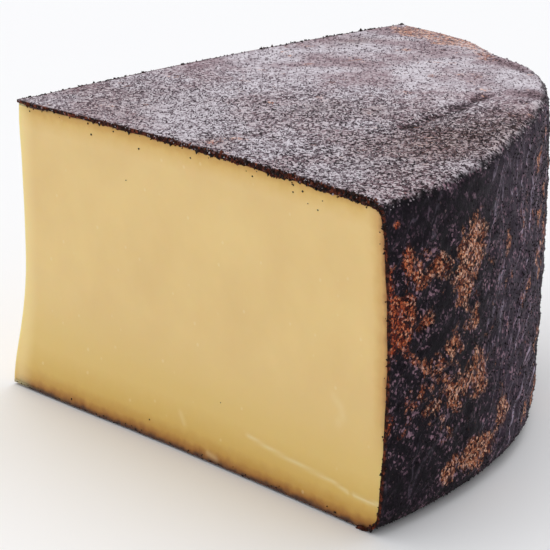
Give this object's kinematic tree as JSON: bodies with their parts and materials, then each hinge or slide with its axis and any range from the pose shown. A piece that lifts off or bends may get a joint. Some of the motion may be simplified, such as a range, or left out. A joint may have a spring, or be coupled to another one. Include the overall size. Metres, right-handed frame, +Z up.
{
  "type": "cheddar quarter wheel",
  "caption": "Quarter of a rubbed-rind cheddar wheel with two wire-cut faces, a dark crusted rind on top, side and base, and a flat foot to rest on.",
  "frame": {"origin": "middle of the footprint's box, on the surface that the quarter rests on", "axes": "+Z up along the wheel's axis; the first cut runs along +X and faces -Y, the second faces -X, and the rim faces +X and +Y"},
  "size_m": [0.1696, 0.1686, 0.0985],
  "materials": {
    "paste": "firm pale yellow cheddar paste, cut by wire, satin and slightly translucent",
    "rind": "dark crust of ground coffee rubbed into the pressed rind, dry, grainy and dusted with pale bloom"
  },
  "bodies": {
    "root": {"cheddar_quarter": "paste"}
  },
  "joints": []
}
